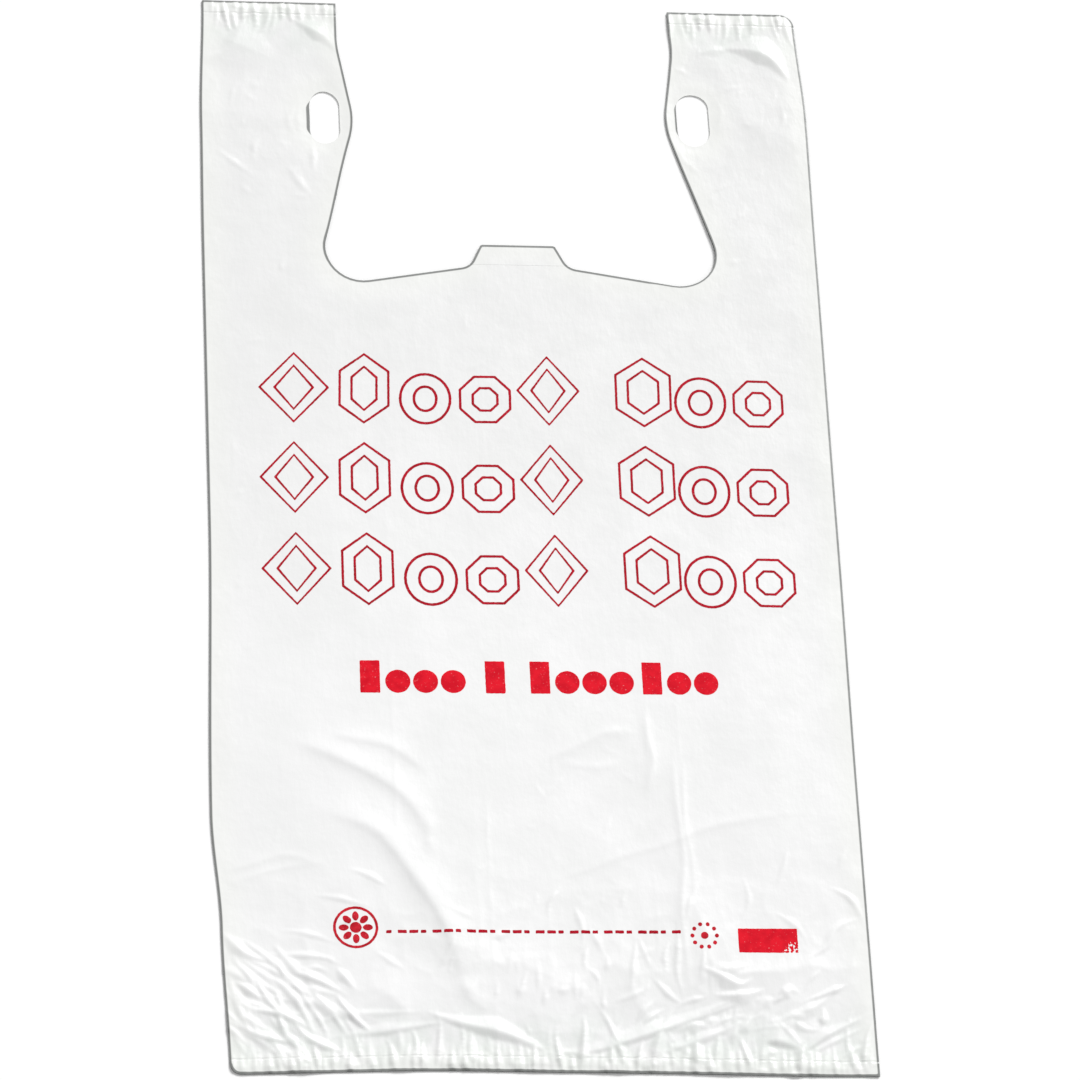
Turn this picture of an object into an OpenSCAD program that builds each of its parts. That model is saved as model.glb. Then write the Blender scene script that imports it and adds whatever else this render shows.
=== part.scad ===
// Thermoplastic T-shirt carrier bag, laid flat on its back.
// +X is the bag's width, +Y runs from the bottom weld to the handle tops, +Z is up through the plies.
// The origin is the centre of the flat bag, on the surface it lies on. Units are millimetres.

/* [Bag] */
// Width of the flat bag, from side fold to side fold
bag_w = 292; // [260:1:340]
// Height of the bag, from the bottom cut edge to the handle tops
bag_h = 546; // [500:1:600]
// Depth of each side gusset, from the side fold to its inner crease
gusset_d = 82.5; // [70:0.5:90]

/* [Plies] */
// Thickness of each ply's solid
film_t = 0.3; // [0.2:0.05:0.5]
// Rise from one ply to the next
ply_pitch = 2; // [1.6:0.1:3]
// Clearance between pieces that move apart
gap = 0.3; // [0.2:0.05:0.5]
// Thickness of the printed ink
ink_t = 0.1; // [0.05:0.05:0.2]

/* [Mouth and handles] */
// Distance between the handles at their tops
handle_gap = 163.4; // [150:0.2:180]
// Distance between the handles at the bulge beside the hang slots
bulge_gap = 145.6; // [140:0.2:155]
// Distance of the bulge and the slots below the handle tops
slot_drop = 62; // [56:1:70]
// Depth of the mouth cut below the handle tops, at its deepest corner
mouth_drop = 156.5; // [145:0.5:165]
// Width of each hang slot
slot_w = 16; // [12:0.5:18]
// Length of each hang slot, along the handle
slot_l = 28.5; // [24:0.5:32]
// Distance between the centres of the two hang slots
slot_spacing = 178.6; // [174:0.2:186]
// Width of the tongue tab at its top
tab_w = 35.6; // [30:0.2:44]
// Distance of the tab's top below the handle tops
tab_drop = 131.4; // [126:0.2:136]
// Distance of the handles' fold line below the handle tops
fold_drop = 86; // [80:1:92]

/* [Welds] */
// Width of each weld bead
weld_w = 1.5; // [1:0.1:2.5]
// Loose film beyond each weld
skirt = 6; // [4:0.5:8]
// Distance over which the plies spread apart from a weld
spread = 10; // [8:1:20]

/* [Print] */
// Width of the printed outlines
stroke = 1.3; // [0.8:0.1:2]
// Distance between the two outlines of a shape
band = 6.5; // [5:0.5:8]
// Height of the tall shapes in a row
tall_h = 37; // [30:1:42]
// Height of the low shapes in a row
low_h = 27; // [22:1:32]
// Distance from one row of shapes to the next
row_pitch = 46.5; // [42:0.5:50]

/* [Hidden] */
$fn = 48;

half_w = bag_w / 2;
top_y = bag_h / 2;
bottom_y = -bag_h / 2;
weld_y = bottom_y + skirt;            // lower edge of the bottom weld bead
panel_y = weld_y + weld_w;            // where the panels leave the bottom weld
handle_weld_y = top_y - skirt;        // upper edge of each handle's weld bead
crease_x = half_w - gusset_d;         // the gussets' inner creases
slot_x = slot_spacing / 2;
slot_y = top_y - slot_drop;
fold_y = top_y - fold_drop;
perf_y = top_y - tab_drop - 10.6;     // the tab's perforated root
level = [for (i = [0:3]) i * ply_pitch]; // underside of each of the four plies
stack_top = level[3] + film_t;
weld_t = 4 * film_t;                  // four plies melted together

// Right half of the mouth's die cut, from the handle's top to the tab: [x, y, corner radius]
mouth_corners = [
  [handle_gap / 2, top_y, 0],
  [handle_gap / 2, top_y - 23, 60],
  [bulge_gap / 2, slot_y - 2, 40],
  [half_w - 44.5, top_y - mouth_drop, 18],
  [tab_w / 2 + 5.7, top_y - tab_drop - 11.8, 8],
  [tab_w / 2, top_y - tab_drop, 0],
];

film_colour = "whitesmoke";
inner_colour = "gainsboro";
weld_colour = "lightgray";
ink_colour = "crimson";

// ---- curves ----

function unit(v) = v / norm(v);

// The arc of radius r that rounds corner p between its neighbours a and b, in n steps
function corner_arc(a, p, b, r, n = 14) =
  let (u = unit(a - p), v = unit(b - p), half = acos(u * v) / 2,
       c = p + unit(u + v) * r / sin(half),
       from = p + u * r / tan(half) - c, to = p + v * r / tan(half) - c,
       start = atan2(from.y, from.x),
       sweep = (atan2(to.y, to.x) - start + 540) % 360 - 180)
  [for (i = [0:n]) c + r * [cos(start + sweep * i / n), sin(start + sweep * i / n)]];

function xy(p) = [p.x, p.y];

// A path with its corners rounded; a corner of radius 0 stays sharp
function rounded_path(q) = [
  for (i = [0:len(q) - 1])
    each q[i][2] == 0 ? [xy(q[i])] : corner_arc(xy(q[i - 1]), xy(q[i]), xy(q[i + 1]), q[i][2])
];

function mirrored(path) = [for (i = [len(path) - 1:-1:0]) [-path[i].x, path[i].y]];

// ---- flat shapes ----

module hang_slot() {
  translate([slot_x, slot_y]) {
    square([slot_w, slot_l - slot_w], center = true);
    for (s = [-1, 1]) translate([0, s * (slot_l - slot_w) / 2]) circle(d = slot_w);
  }
}

// The whole die-cut bag, seen from the front
module bag_outline() {
  mouth = rounded_path(mouth_corners);
  difference() {
    polygon(concat([[half_w, bottom_y], [half_w, top_y]], mouth, mirrored(mouth),
                   [[-half_w, top_y], [-half_w, bottom_y]]));
    hang_slot();
    mirror([1, 0]) hang_slot();
  }
}

// The part of the outline inside a rectangle from corner a to corner b
module cut_from_bag(a, b) {
  intersection() {
    bag_outline();
    translate(a) square(b - a);
  }
}

// A [y, z] side view, drawn out along X from x0 to x1
module side_view(points, x0, x1) {
  translate([x0, 0, 0]) rotate([90, 0, 90]) linear_extrude(x1 - x0) polygon(points);
}

// Ply i, numbered from the back, between a weld and the handles' fold line. It leaves the weld on the
// plies beneath it and spreads up to its own level. way is 1 or -1, the direction of Y from the weld.
module ply(i, weld_end, fold_end, way) {
  knee = weld_end + way * spread;
  under = [[weld_end, i * film_t], [knee, level[i]], [fold_end, level[i]]];
  over = [for (k = [2:-1:0]) under[k] + [0, film_t]];
  intersection() {
    side_view(concat(under, over), -half_w, half_w);
    translate([0, 0, -film_t]) linear_extrude(stack_top + 2 * film_t) children();
  }
}

module flat_ply(i) {
  translate([0, 0, level[i]]) linear_extrude(film_t) children();
}

module on_side(side) {
  if (side == "left") mirror([1, 0, 0]) children();
  else children();
}

// ---- panels ----

// A main panel with the lower part of both handles, up to their fold lines and without the tab
module panel(i) {
  color(film_colour) ply(i, panel_y + gap, fold_y - gap / 2, 1) difference() {
    cut_from_bag([-half_w, bottom_y], [half_w, top_y]);
    translate([-tab_w, perf_y]) square([2 * tab_w, tab_drop]);
  }
}

module tab_shape(clear) {
  cut_from_bag([-tab_w, perf_y + clear], [tab_w, top_y]);
}

module back_panel() {
  panel(0);
}

module front_panel() {
  panel(3);
}

module back_tab() {
  color(film_colour) flat_ply(0) tab_shape(0);
}

module front_tab() {
  color(film_colour) flat_ply(3) tab_shape(gap);
}

// ---- gussets, drawn on the right ----

module gusset_ply(i) {
  color(inner_colour) ply(i, panel_y + gap, fold_y - gap / 2, 1)
    cut_from_bag([crease_x, bottom_y], [half_w, top_y]);
}

module gusset_front_ply() {
  gusset_ply(2);
}

module gusset_back_ply() {
  gusset_ply(1);
}

// The folded film that joins the two plies along the gusset's inner crease
module gusset_crease() {
  weld_end = panel_y + gap;
  mouth_y = top_y - mouth_drop - 2;
  color(inner_colour) side_view([
    [weld_end, 2 * film_t], [weld_end + spread, level[1] + film_t], [mouth_y, level[1] + film_t],
    [mouth_y, level[2]], [weld_end + spread, level[2]],
  ], crease_x, crease_x + film_t);
}

// ---- handles above their fold line, drawn on the right ----

module handle_ply(i) {
  ply(i, handle_weld_y - weld_w, fold_y + gap / 2, -1) cut_from_bag([0, bottom_y], [half_w, top_y]);
}

module handle_front_ply() {
  color(film_colour) handle_ply(3);
}

module handle_back_ply() {
  color(film_colour) handle_ply(0);
}

module handle_inner_plies() {
  color(inner_colour) for (i = [1, 2]) handle_ply(i);
}

module handle_seal() {
  color(weld_colour) translate([handle_gap / 2, handle_weld_y - weld_w, 0])
    cube([half_w - handle_gap / 2, weld_w, weld_t]);
}

module handle_skirt() {
  color(film_colour) translate([handle_gap / 2, handle_weld_y, 0])
    cube([half_w - handle_gap / 2, skirt, weld_t]);
}

// ---- bottom weld ----

module bottom_seal() {
  color(weld_colour) translate([-half_w, weld_y, 0]) cube([bag_w, weld_w, weld_t]);
}

module bottom_skirt() {
  color(film_colour) translate([-half_w, bottom_y, 0]) cube([bag_w, skirt, weld_t]);
}

// ---- print ----

module ink(x = 0, y = 0) {
  color(ink_colour) translate([x, y, stack_top]) linear_extrude(ink_t) children();
}

// Corners of a shape with n sides that fills a box of w by h, turned by a number of degrees
function ngon(n, w, h, turn) = [
  for (i = [0:n - 1]) [w / 2 * cos(turn + 360 * i / n), h / 2 * sin(turn + 360 * i / n)]
];

// A shape drawn as two outlines, one inside the other
module double_outline(n, w, h, turn) {
  for (inset = [0, 2 * band]) difference() {
    polygon(ngon(n, w - inset, h - inset, turn));
    polygon(ngon(n, w - inset - 2 * stroke, h - inset - 2 * stroke, turn));
  }
}

// A row of eight plain shapes: [centre x, width, tall, sides, turn]
row_shapes = [
  [-108, 31, true, 4, 90], [-76, 28, true, 6, 90], [-47, 25, false, 40, 0],
  [-18.5, 27, false, 8, 22.5], [11.5, 30, true, 4, 90], [56.5, 31, true, 6, 90],
  [83.5, 25, false, 40, 0], [111.5, 27, false, 8, 22.5],
];

module print_row(base_y) {
  for (s = row_shapes) {
    h = s[2] ? tall_h : low_h;
    ink(s[0], base_y + h / 2) double_outline(s[3], s[1], h, s[4]);
  }
}

// Solid bars and dots in four groups: [left end, number of marks]
bar_groups = [[-81, 4], [-24, 1], [-3.5, 4], [48.5, 3]];

module print_bar_row() {
  mark_pitch = 12.6;
  for (g = bar_groups) for (i = [0:g[1] - 1])
    ink(g[0] + 4.5 + i * mark_pitch, -91)
      if (i == 0) translate([-4.5, 0]) square([9, 16]);
      else translate([0, 5.7]) circle(d = 11.4);
}

// Eight petals round a disc, inside a ring
module print_rosette() {
  ink(-87.5, -204.8) {
    difference() {
      circle(d = 20);
      circle(d = 17.6);
    }
    circle(d = 5.2);
    for (i = [0:7]) rotate(45 * i) translate([5.4, 0]) polygon(ngon(16, 4.4, 3, 0));
  }
}

module print_dash_line() {
  dashes = 26;
  line_l = 134;
  for (i = [0:dashes - 1])
    ink(-74 + i * line_l / dashes, -207.6) square([i % 3 == 0 ? 2.4 : 4, 1.5]);
}

module print_dot_ring() {
  dots = 10;
  ink(69.6, -208.6) {
    for (i = [0:dots - 1]) rotate(i * 360 / dots) translate([5.6, 0]) circle(d = 1.9);
    circle(d = 3.4);
  }
}

module print_block() {
  ink(85, -216.4) square([27.4, 11.3]);
}

// ---- nodes ----

back_panel();
back_tab();
bottom_seal();
bottom_skirt();
front_panel();
front_tab();
for (side = ["left", "right"]) {
  on_side(side) gusset_front_ply();
  on_side(side) gusset_back_ply();
  on_side(side) gusset_crease();
  on_side(side) handle_front_ply();
  on_side(side) handle_back_ply();
  on_side(side) handle_inner_plies();
  on_side(side) handle_seal();
  on_side(side) handle_skirt();
}
print_row(45.5);  // print_row_upper
print_row(45.5 - row_pitch);  // print_row_middle
print_row(45.5 - 2 * row_pitch);  // print_row_lower
print_bar_row();
print_rosette();
print_dash_line();
print_dot_ring();
print_block();
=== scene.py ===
"""Thermoplastic T-shirt carrier bag, laid flat: thin wrinkled film, welds and red print.

Every film is cut from the flat pattern in millimetres, lifted by a relief of folds and puckers, and
then eased sideways a little, because a real bag never lies quite square. The pattern is the one of
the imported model: +X across the bag, +Y towards the handles, +Z up through the plies.
"""
import math

import bpy
import numpy as np
from mathutils import Matrix, Vector


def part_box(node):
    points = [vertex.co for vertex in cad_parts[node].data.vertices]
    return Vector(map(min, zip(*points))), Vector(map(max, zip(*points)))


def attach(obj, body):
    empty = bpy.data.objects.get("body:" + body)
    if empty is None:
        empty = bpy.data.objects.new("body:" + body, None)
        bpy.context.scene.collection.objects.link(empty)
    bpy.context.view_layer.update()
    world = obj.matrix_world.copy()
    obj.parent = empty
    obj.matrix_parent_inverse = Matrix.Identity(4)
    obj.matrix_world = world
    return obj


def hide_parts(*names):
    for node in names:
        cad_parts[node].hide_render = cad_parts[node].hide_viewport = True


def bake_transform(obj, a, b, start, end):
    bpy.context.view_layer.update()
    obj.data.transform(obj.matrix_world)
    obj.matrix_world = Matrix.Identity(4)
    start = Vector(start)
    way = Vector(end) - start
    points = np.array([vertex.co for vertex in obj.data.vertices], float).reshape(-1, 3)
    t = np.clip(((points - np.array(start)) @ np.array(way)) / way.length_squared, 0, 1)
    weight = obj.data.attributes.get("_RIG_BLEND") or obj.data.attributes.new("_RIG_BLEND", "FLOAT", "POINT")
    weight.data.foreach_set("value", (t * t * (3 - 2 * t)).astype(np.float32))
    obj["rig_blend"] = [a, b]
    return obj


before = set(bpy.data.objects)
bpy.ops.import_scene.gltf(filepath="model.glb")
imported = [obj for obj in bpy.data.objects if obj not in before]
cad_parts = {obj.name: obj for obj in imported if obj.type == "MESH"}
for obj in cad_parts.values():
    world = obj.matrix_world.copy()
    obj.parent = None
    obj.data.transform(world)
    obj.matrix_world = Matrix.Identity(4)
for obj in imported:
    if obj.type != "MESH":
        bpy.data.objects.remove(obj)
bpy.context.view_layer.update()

MM = 0.001
SEED = 11
LATTICE = 64    # cells each way before the noise repeats
FAR = 50.0      # a distance in millimetres that is beyond every line or edge


# ---- sizes, in millimetres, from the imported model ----

def node_box(node):
    low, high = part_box(node)
    return np.array(low) / MM, np.array(high) / MM


panel_low, panel_high = node_box("front_panel")
seal_low, seal_high = node_box("bottom_seal")
skirt_low, _ = node_box("bottom_skirt")
handle_low, handle_high = node_box("right_handle_front_ply")
handle_seal_low, handle_seal_high = node_box("right_handle_seal")
handle_skirt_high = node_box("right_handle_skirt")[1]
gusset_low = node_box("right_gusset_front_ply")[0]
tab_low, tab_high = node_box("front_tab")

HALF_W = panel_high[0]
BOTTOM_Y = skirt_low[1]
WELD_LOW_Y = seal_low[1]
PANEL_Y = seal_high[1]
FOLD_Y = (panel_high[1] + handle_low[1]) / 2
HANDLE_WELD_LOW_Y = handle_seal_low[1]
HANDLE_WELD_Y = handle_seal_high[1]
TOP_Y = handle_skirt_high[1]
CREASE_X = gusset_low[0]
HANDLE_IN_X = handle_seal_low[0]
BULGE_X = handle_low[0]
PERF_Y = node_box("back_tab")[0][1]
TAB_TOP_Y = tab_high[1]

# the die cut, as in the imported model
SLOT_X = 89.3
SLOT_Y = TOP_Y - 62
SLOT_W = 16
SLOT_L = 28.5
TAB_HALF = 17.8
# the mouth's right half, from above the handle down to the top of the tab: x, y, corner radius
MOUTH_CORNERS = [
    (HANDLE_IN_X, TOP_Y + 4, 0),
    (HANDLE_IN_X, TOP_Y - 23, 60),
    (BULGE_X, SLOT_Y - 2, 40),
    (HALF_W - 44.5, TOP_Y - 156.5, 18),
    (TAB_HALF + 5.7, TAB_TOP_Y - 11.8, 8),
    (TAB_HALF, TAB_TOP_Y, 0),
]

BOTTOM_CORNER_R = 5
TOP_CORNER_R = 7

FILM_T = 0.10
INK_T = 0.05
FLOOR_GAP = 0.02    # the lowest that any film goes


# ---- noise and curves ----

def lattice_noise(x, y, size, seed):
    """Smooth gradient noise from about -1 to 1, with features of the given size."""
    rng = np.random.default_rng(SEED * 1000 + seed)
    angle = rng.random((LATTICE, LATTICE)) * 2 * np.pi
    gx, gy = np.cos(angle), np.sin(angle)
    u, v = x / size, y / size
    iu, iv = np.floor(u).astype(int), np.floor(v).astype(int)
    fu, fv = u - iu, v - iv
    su, sv = fu ** 3 * (fu * (fu * 6 - 15) + 10), fv ** 3 * (fv * (fv * 6 - 15) + 10)

    def corner(a, b):
        i, j = (iu + a) % LATTICE, (iv + b) % LATTICE
        return gx[i, j] * (fu - a) + gy[i, j] * (fv - b)

    low = corner(0, 0) * (1 - su) + corner(1, 0) * su
    high = corner(0, 1) * (1 - su) + corner(1, 1) * su
    return (low * (1 - sv) + high * sv) * 1.5


def smooth(t):
    t = np.clip(t, 0, 1)
    return t * t * (3 - 2 * t)


def bump_at(t, centre, width):
    return np.exp(-((t - centre) / width) ** 2)


def curve_through(points, step=1.0):
    """A smooth open curve through a few points, sampled about every step millimetres."""
    p = np.array(points, float)
    p = np.vstack([2 * p[0] - p[1], p, 2 * p[-1] - p[-2]])
    out = []
    for a, b, c, d in zip(p, p[1:], p[2:], p[3:]):
        n = max(2, int(np.linalg.norm(c - b) / step))
        t = np.arange(n)[:, None] / n
        out.append(0.5 * (2 * b + (c - a) * t + (2 * a - 5 * b + 4 * c - d) * t ** 2
                          + (3 * b - a - 3 * c + d) * t ** 3))
    return np.vstack(out + [p[-2:-1]])


def rounded_path(corners):
    """Corners (x, y, radius) joined by straight lines, each corner rounded by its arc."""
    out = []
    for i, (x, y, r) in enumerate(corners):
        here = np.array([x, y], float)
        if r == 0:
            out.append(here)
            continue
        u = np.array(corners[i - 1][:2]) - here
        v = np.array(corners[i + 1][:2]) - here
        u, v = u / np.linalg.norm(u), v / np.linalg.norm(v)
        half = math.acos(float(u @ v)) / 2
        centre = here + (u + v) / np.linalg.norm(u + v) * r / math.sin(half)
        start = here + u * r / math.tan(half) - centre
        end = here + v * r / math.tan(half) - centre
        a = math.atan2(start[1], start[0])
        sweep = (math.atan2(end[1], end[0]) - a + math.pi) % (2 * math.pi) - math.pi
        for k in range(13):
            b = a + sweep * k / 12
            out.append(centre + r * np.array([math.cos(b), math.sin(b)]))
    return np.array(out)


# ---- signed distances on the flat pattern: negative is film, positive is air ----

def polygon_distance(points, x, y):
    """Distance to a closed outline, negative inside it."""
    a = np.asarray(points, float)
    b = np.roll(a, -1, axis=0)
    best = np.full(np.shape(x), 1e9)
    inside = np.zeros(np.shape(x), bool)
    for (ax, ay), (bx, by) in zip(a, b):
        ex, ey = bx - ax, by - ay
        t = np.clip(((x - ax) * ex + (y - ay) * ey) / max(ex * ex + ey * ey, 1e-12), 0, 1)
        best = np.minimum(best, (x - ax - t * ex) ** 2 + (y - ay - t * ey) ** 2)
        if ay != by:
            crosses = (ay > y) != (by > y)
            inside ^= crosses & (x < ax + (y - ay) / (by - ay) * ex)
    best = np.sqrt(best)
    return np.where(inside, -best, best)


def mouth_outline():
    right = rounded_path(MOUTH_CORNERS)
    left = right[::-1] * [-1, 1]
    return np.vstack([right, left])


MOUTH = mouth_outline()


def slot_distance(x, y, cx):
    dy = np.maximum(np.abs(y - SLOT_Y) - (SLOT_L - SLOT_W) / 2, 0)
    return np.hypot(x - cx, dy) - SLOT_W / 2


def die_cut(x, y):
    """The whole bag's cut edge: mouth, tab and hang slots."""
    d = np.full(np.shape(x), -FAR)
    near = y > PERF_Y - 60
    if near.any():
        d[near] = np.maximum(d[near], -polygon_distance(MOUTH, x[near], y[near]))
    for cx in (-SLOT_X, SLOT_X):
        d = np.maximum(d, -slot_distance(x, y, cx))
    return d


def round_corner(x, y, cx, cy, r):
    """Rounds the outer corner of the sheet at (cx, cy)."""
    dx = np.maximum(r - (cx - x) * np.sign(cx), 0)
    dy = np.maximum(r - (cy - y) * np.sign(cy), 0)
    return np.where((dx > 0) & (dy > 0), np.hypot(dx, dy) - r, -FAR)


def outline(x, y):
    """The whole bag's outline: the die cut, and the two outer corners that are worn round."""
    d = die_cut(x, y)
    d = np.maximum(d, round_corner(x, y, -HALF_W, BOTTOM_Y, BOTTOM_CORNER_R))
    return np.maximum(d, round_corner(x, y, HALF_W, TOP_Y, TOP_CORNER_R))


# ---- how the lying bag eases sideways out of the flat pattern ----

# EASE_DX is the sideways shift: a row for each EASE_Y, a column for each EASE_X.
EASE_Y = [-273, -205, -150, 0, 140, 210, 273]
EASE_X = [-146, -93, 0, 93, 146]
EASE_DX = [
    [0.5, 0, 0, 0, -0.7],
    [-2.0, -0.5, 0, 0, -0.6],
    [-5.5, -1.5, 0, 0, -0.5],
    [-3.0, -0.5, 0, 0, 0.2],
    [-3.0, 3.3, 1.0, 3.2, 0.6],
    [-2.5, -0.5, 1.0, 2.9, 1.0],
    [-0.5, 0, 0, 0, -1.6],
]


def eased(x, y):
    """Pattern point to lying point: sides out of true, a sagging bottom edge, slots a little askew."""
    rows = [np.interp(x, EASE_X, row) for row in EASE_DX]
    t = np.interp(y, EASE_Y, range(len(EASE_Y)))
    i = np.clip(t.astype(int), 0, len(EASE_Y) - 2)
    f = smooth(t - i)
    stack = np.stack(rows)
    low = np.take_along_axis(stack, i[None], 0)[0]
    high = np.take_along_axis(stack, i[None] + 1, 0)[0]
    dx = low * (1 - f) + high * f
    sag = 1.6 * bump_at(x, -60, 60) - 2.0 * smooth((x - 20) / 120)
    dy = sag * smooth((-190 - y) / 80)
    by_slots = bump_at(y, SLOT_Y, 24)
    dx = dx + by_slots * (1.9 * bump_at(x, -98, 8) - 1.8 * bump_at(x, 90, 12))
    dy = dy + by_slots * 2.0 * np.clip(x / SLOT_X, -1.3, 1.3)
    return x + dx, y + dy


# ---- relief: a grid of heights over the pattern ----

class Relief:
    """A grid of heights over the pattern, z, and the pleats' ridges, which are kept apart from it."""

    def __init__(self, pitch):
        self.pitch = pitch
        self.x = np.arange(-HALF_W, HALF_W + pitch, pitch)
        self.y = np.arange(BOTTOM_Y, TOP_Y + pitch, pitch)
        self.gx, self.gy = np.meshgrid(self.x, self.y)
        self.z = np.zeros_like(self.gx)
        self.ridges = np.zeros_like(self.gx)

    def sample(self, x, y):
        """Height at any point of the pattern, between the grid's own points."""
        u = np.clip((x - self.x[0]) / self.pitch, 0, len(self.x) - 1.001)
        v = np.clip((y - self.y[0]) / self.pitch, 0, len(self.y) - 1.001)
        i, j = u.astype(int), v.astype(int)
        fu, fv = u - i, v - j
        z = self.z
        low = z[j, i] * (1 - fu) + z[j, i + 1] * fu
        high = z[j + 1, i] * (1 - fu) + z[j + 1, i + 1] * fu
        return low * (1 - fv) + high * fv

    def along(self, points, reach):
        """The part of the grid near a curve: its slices, squared distance, place 0 to 1 and side."""
        path = curve_through(points)
        i0, i1 = np.searchsorted(self.x, [path[:, 0].min() - reach, path[:, 0].max() + reach])
        j0, j1 = np.searchsorted(self.y, [path[:, 1].min() - reach, path[:, 1].max() + reach])
        part = (slice(j0, j1), slice(i0, i1))
        x, y = self.gx[part], self.gy[part]
        best = np.full(x.shape, 1e9)
        at = np.zeros(x.shape, int)
        for k, (px, py) in enumerate(path):
            d = (x - px) ** 2 + (y - py) ** 2
            closer = d < best
            best[closer] = d[closer]
            at[closer] = k
        way = np.gradient(path, axis=0)[at]
        side = way[..., 0] * (y - path[at, 1]) - way[..., 1] * (x - path[at, 0])
        return part, best, at / (len(path) - 1), side

    def crease(self, points, height, left, right, fade=0.35, soft=0.5):
        """A soft fold along a curve. left and right are its flanks' widths, and soft rounds its top."""
        part, best, s, side = self.along(points, 4.5 * max(left, right))
        width = right + (left - right) * smooth(side / (0.6 * (left + right)) + 0.5)
        taper = smooth(s / fade) * smooth((1 - s) / fade)
        round_top = soft * width
        d = np.sqrt(best + round_top ** 2) - round_top
        self.z[part] += height * taper * np.exp(-d / width)

    def pleat(self, points, height, left, right, widest=0.5):
        """A crisp pleat: two flat flanks that meet in a ridge and narrow to a point at both ends."""
        part, best, s, side = self.along(points, max(left, right) + 1)
        taper = np.minimum(s / widest, (1 - s) / (1 - widest))
        width = np.where(side > 0, left, right)
        tent = height * np.clip(taper - np.sqrt(best) / width, 0, None)
        self.ridges[part] = np.maximum(self.ridges[part], tent)


def facets(x, y, size, seed):
    """A net of creases round smooth hollows, as in crumpled film: 0 in the hollows, near 1 on the net."""
    wx = x + 0.35 * size * lattice_noise(x, y, size * 1.3, seed + 1)
    wy = y + 0.35 * size * lattice_noise(x, y, size * 1.3, seed + 2)
    rng = np.random.default_rng(SEED * 77 + seed)
    jitter = rng.random((LATTICE, LATTICE, 2)) * 0.9
    u, v = wx / size, wy / size
    iu, iv = np.floor(u).astype(int), np.floor(v).astype(int)
    first = np.full(np.shape(x), 9.0)
    for a in (-1, 0, 1):
        for b in (-1, 0, 1):
            cell = jitter[(iu + a) % LATTICE, (iv + b) % LATTICE]
            first = np.minimum(first, (u - iu - a - cell[..., 0]) ** 2 + (v - iv - b - cell[..., 1]) ** 2)
    return first


# Folds that the bag lies in: points, height, left flank, right flank. A path's left is its upper side.
SOFT_FOLDS = [
    ([(-100, -110), (-82, -114), (-69, -117), (-56, -126), (-49, -132)], 0.42, 4.5, 1.7),
    ([(-116, -113), (-95, -121), (-70, -135), (-57, -149), (-48, -168)], 0.80, 6.5, 2.7),
    ([(-107, -146), (-83, -154), (-72, -162), (-60, -180), (-48, -201), (-40, -228), (-36, -244)],
     1.20, 8.0, 3.6),
    ([(-50, -150), (-53, -160), (-50, -172)], 0.3, 2.6, 2.6),
    ([(-42, -228), (-38, -238), (-28, -246)], 0.5, 4.0, 3.0),
    ([(61, -112), (60.5, -140), (62.5, -172), (60, -198), (62, -243)], 0.42, 1.3, 1.5),
    ([(65.5, -118), (64, -150), (66.5, -176), (66, -200)], 0.26, 1.1, 1.0),
    ([(49, -95), (49, -110), (51, -125), (46, -143)], 0.40, 1.8, 1.6),
    ([(-3, -125), (16, -117), (30, -110), (48, -110)], 0.32, 2.0, 2.2),
    ([(6, -125), (24, -127), (37, -125)], 0.20, 1.6, 1.8),
    ([(-8, -184), (15, -178), (33, -171), (56, -164), (76, -156), (102, -151), (126, -148)],
     0.24, 2.2, 1.5),
    ([(-145, -179), (-130, -174), (-115, -170), (-97, -176)], 0.26, 1.8, 1.4),
    ([(-145, -185), (-121, -177), (-97, -173)], 0.20, 1.6, 1.4),
]
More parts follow.
